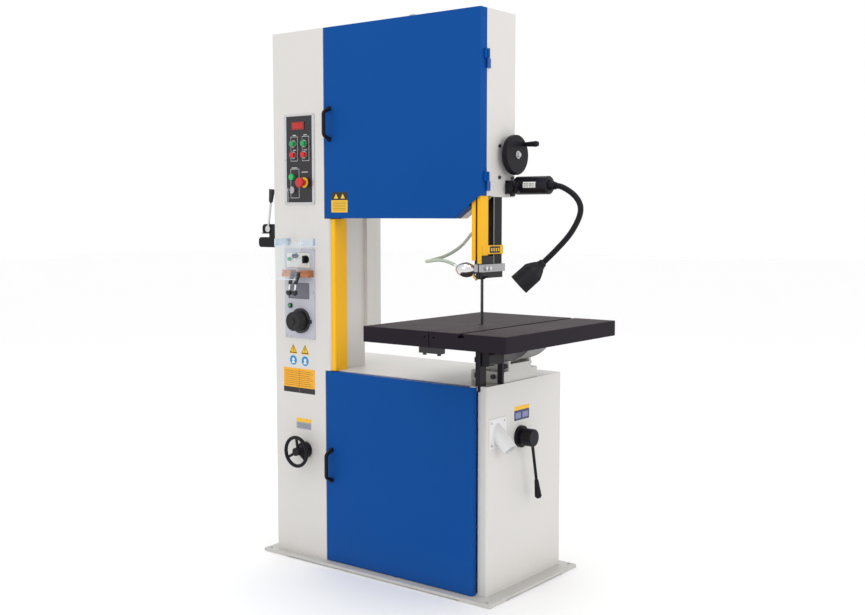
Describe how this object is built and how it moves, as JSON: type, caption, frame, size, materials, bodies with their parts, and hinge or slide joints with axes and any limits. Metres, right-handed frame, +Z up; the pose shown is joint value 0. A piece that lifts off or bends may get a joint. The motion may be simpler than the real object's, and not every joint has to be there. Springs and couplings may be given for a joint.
{
  "type": "band saw",
  "caption": "Vertical metal-cutting band saw with a box column, wheels behind two doors, a tilting slotted table, a rising blade guide and a blade welder.",
  "frame": {"origin": "centre of the four anchor-bolt holes at floor level, under the base plate's pads", "axes": "+Z up, +X to the right when facing the doors, doors face -Y"},
  "size_m": [1.3935, 0.8105, 2.098],
  "materials": {
    "base_paint": "satin",
    "body_paint": "fine texture",
    "door_paint": "satin",
    "guard_paint": "satin",
    "panel_black": "satin",
    "welder_paint": "satin",
    "copper": "machined",
    "clear_plastic": "clear",
    "casting_paint": "rough casting, painted",
    "cast_iron": "machined and cast",
    "table_iron": "ground, oiled",
    "aluminium": "turned",
    "black_steel": "blackened",
    "chrome": "polished",
    "lamp_paint": "satin",
    "black_plastic": "moulded",
    "motor_paint": "satin",
    "rubber": "matt",
    "blade_steel": "rolled",
    "bright_steel": "zinc plated",
    "tyre": "matt",
    "hose": "soft, slightly clear",
    "button_green": "gloss",
    "button_red": "gloss",
    "grindstone": "bonded grit"
  },
  "bodies": {
    "root": {"base_plate": "base_paint", "column": "body_paint", "lower_cabinet": "body_paint", "head_housing": "body_paint", "electrical_cabinet": "body_paint", "left_blade_guard": "guard_paint", "control_panel": "panel_black", "weld_plate": "welder_paint", "weld_jaws": "copper", "shield_arms": "clear_plastic", "table_saddle": "casting_paint", "lower_blade_guard": "black_steel", "chip_chute": "casting_paint", "shear_body": "black_steel", "lamp_mount": "lamp_paint", "motor": "motor_paint", "gearbox": "motor_paint", "drive_belt": "rubber", "blade": "blade_steel", "fasteners": "bright_steel"},
    "upper_door": {"upper_door": "door_paint", "upper_door_handle": "black_plastic"},
    "lower_door": {"lower_door": "door_paint", "lower_door_handle": "black_plastic"},
    "electrical_door": {"electrical_door": "body_paint"},
    "tension_carriage": {"tension_carriage": "cast_iron"},
    "upper_wheel": {"upper_wheel": "cast_iron", "upper_tyre": "tyre"},
    "lower_wheel": {"lower_wheel": "cast_iron", "lower_tyre": "tyre"},
    "motor_pulley": {"motor_pulley": "cast_iron"},
    "gearbox_pulley": {"gearbox_pulley": "cast_iron"},
    "guide_post": {"guide_post": "black_steel", "upper_blade_guard": "guard_paint", "upper_guide": "black_steel", "air_nozzle": "chrome", "air_hose": "hose"},
    "height_handwheel": {"height_handwheel": "black_plastic"},
    "crank_grip": {"crank_grip": "black_plastic"},
    "speed_handwheel": {"speed_handwheel": "black_plastic"},
    "gear_lever": {"gear_lever": "black_plastic"},
    "table": {"table": "table_iron", "table_insert": "aluminium", "table_trunnion": "cast_iron"},
    "work_lamp": {"lamp_arm": "black_plastic", "lamp_head": "lamp_paint"},
    "weld_lever_left": {"weld_lever_left": "chrome"},
    "weld_lever_right": {"weld_lever_right": "chrome"},
    "weld_knob": {"weld_knob": "black_plastic"},
    "weld_selector": {"weld_selector": "black_plastic"},
    "weld_button": {"weld_button": "button_green"},
    "shield_flap": {"shield_flap": "clear_plastic"},
    "shear_lever": {"shear_lever": "chrome"},
    "start_button_left": {"start_button_left": "button_green"},
    "start_button_right": {"start_button_right": "button_green"},
    "stop_button_left": {"stop_button_left": "button_red"},
    "stop_button_right": {"stop_button_right": "button_red"},
    "emergency_stop": {"emergency_stop": "button_red"},
    "key_switch": {"key_switch": "bright_steel"},
    "grinder_wheel": {"grinder_wheel": "grindstone"}
  },
  "joints": [
    {"name": "upper_door_hinge", "type": "hinge", "parent": "root", "child": "upper_door", "pos_m": [0.4915, -0.222, 1.7], "axis": [0, 0, 1], "range_deg": [0, 110]},
    {"name": "lower_door_hinge", "type": "hinge", "parent": "root", "child": "lower_door", "pos_m": [0.45, -0.246, 0.38], "axis": [0, 0, 1], "range_deg": [0, 110]},
    {"name": "electrical_door_hinge", "type": "hinge", "parent": "root", "child": "electrical_door", "pos_m": [-0.5115, -0.0065, 1.15], "axis": [0, 0, 1], "range_deg": [0, 110]},
    {"name": "tension_slide", "type": "slide", "parent": "root", "child": "tension_carriage", "axis": [0, 0, 1], "range_m": [-0.015, 0]},
    {"name": "upper_wheel_spin", "type": "hinge", "parent": "tension_carriage", "child": "upper_wheel", "pos_m": [0.13, -0.217, 1.702], "axis": [0, 1, 0], "continuous": true},
    {"name": "lower_wheel_spin", "type": "hinge", "parent": "root", "child": "lower_wheel", "pos_m": [0.13, -0.217, 0.386], "axis": [0, 1, 0], "continuous": true},
    {"name": "motor_pulley_spin", "type": "hinge", "parent": "root", "child": "motor_pulley", "pos_m": [-0.12, 0.03, 0.134], "axis": [0, 1, 0], "continuous": true},
    {"name": "gearbox_pulley_spin", "type": "hinge", "parent": "root", "child": "gearbox_pulley", "pos_m": [0.13, 0.03, 0.47], "axis": [0, 1, 0], "continuous": true},
    {"name": "guide_post_slide", "type": "slide", "parent": "root", "child": "guide_post", "axis": [0, 0, 1], "range_m": [-0.128, 0.0549]},
    {"name": "height_handwheel_turn", "type": "hinge", "parent": "root", "child": "height_handwheel", "pos_m": [0.515, -0.0895, 1.568], "axis": [1, 0, 0], "range_deg": [-150, 350]},
    {"name": "crank_grip_spin", "type": "hinge", "parent": "height_handwheel", "child": "crank_grip", "pos_m": [0.55, -0.0515, 1.606], "axis": [1, 0, 0], "continuous": true},
    {"name": "speed_handwheel_turn", "type": "hinge", "parent": "root", "child": "speed_handwheel", "pos_m": [-0.348, -0.315, 0.438], "axis": [0, 1, 0], "range_deg": [-720, 720]},
    {"name": "gear_lever_turn", "type": "hinge", "parent": "root", "child": "gear_lever", "pos_m": [0.52, -0.025, 0.558], "axis": [1, 0, 0], "range_deg": [-25, 25]},
    {"name": "table_tilt", "type": "hinge", "parent": "root", "child": "table", "pos_m": [0.46475, 0, 0.9795], "axis": [0, 1, 0], "range_deg": [-15, 15]},
    {"name": "lamp_swivel", "type": "hinge", "parent": "root", "child": "work_lamp", "pos_m": [0.645, -0.064, 1.4615], "axis": [1, 0, 0], "range_deg": [-30, 30]},
    {"name": "weld_lever_left_turn", "type": "hinge", "parent": "root", "child": "weld_lever_left", "pos_m": [-0.381, -0.288, 1.128], "axis": [-1, 0, 0], "range_deg": [0, 40]},
    {"name": "weld_lever_right_turn", "type": "hinge", "parent": "root", "child": "weld_lever_right", "pos_m": [-0.35, -0.288, 1.128], "axis": [-1, 0, 0], "range_deg": [0, 40]},
    {"name": "weld_knob_turn", "type": "hinge", "parent": "root", "child": "weld_knob", "pos_m": [-0.384, -0.275, 1.2], "axis": [0, 1, 0], "range_deg": [-150, 150]},
    {"name": "weld_selector_turn", "type": "hinge", "parent": "root", "child": "weld_selector", "pos_m": [-0.333, -0.275, 1.187], "axis": [0, 1, 0], "range_deg": [-60, 60]},
    {"name": "weld_button_press", "type": "slide", "parent": "root", "child": "weld_button", "axis": [0, 1, 0], "range_m": [0, 0.004], "stiffness_N_per_m": 300},
    {"name": "shield_flap_turn", "type": "hinge", "parent": "root", "child": "shield_flap", "pos_m": [-0.3655, -0.325, 1.252], "axis": [-1, 0, 0], "range_deg": [0, 100]},
    {"name": "shear_lever_turn", "type": "hinge", "parent": "root", "child": "shear_lever", "pos_m": [-0.555, -0.25, 1.303], "axis": [0, 1, 0], "range_deg": [-75, 0]},
    {"name": "start_button_left_press", "type": "slide", "parent": "root", "child": "start_button_left", "axis": [0, 1, 0], "range_m": [0, 0.003], "stiffness_N_per_m": 300},
    {"name": "start_button_right_press", "type": "slide", "parent": "root", "child": "start_button_right", "axis": [0, 1, 0], "range_m": [0, 0.003], "stiffness_N_per_m": 300},
    {"name": "stop_button_left_press", "type": "slide", "parent": "root", "child": "stop_button_left", "axis": [0, 1, 0], "range_m": [0, 0.003], "stiffness_N_per_m": 300},
    {"name": "stop_button_right_press", "type": "slide", "parent": "root", "child": "stop_button_right", "axis": [0, 1, 0], "range_m": [0, 0.003], "stiffness_N_per_m": 300},
    {"name": "emergency_stop_press", "type": "slide", "parent": "root", "child": "emergency_stop", "axis": [0, 1, 0], "range_m": [0, 0.003], "stiffness_N_per_m": 500},
    {"name": "key_switch_turn", "type": "hinge", "parent": "root", "child": "key_switch", "pos_m": [-0.402, -0.265, 1.455], "axis": [0, 1, 0], "range_deg": [0, 90]},
    {"name": "grinder_wheel_spin", "type": "hinge", "parent": "root", "child": "grinder_wheel", "pos_m": [-0.364, -0.29, 0.947], "axis": [0, 1, 0], "continuous": true}
  ],
  "couplings": [
    {"joint": "upper_wheel_spin", "follows": "lower_wheel_spin", "ratio": 1},
    {"joint": "motor_pulley_spin", "follows": "lower_wheel_spin", "ratio": 7.1429},
    {"joint": "gearbox_pulley_spin", "follows": "lower_wheel_spin", "ratio": 4},
    {"joint": "height_handwheel_turn", "follows": "guide_post_slide", "rad_per_m": -47.619}
  ]
}
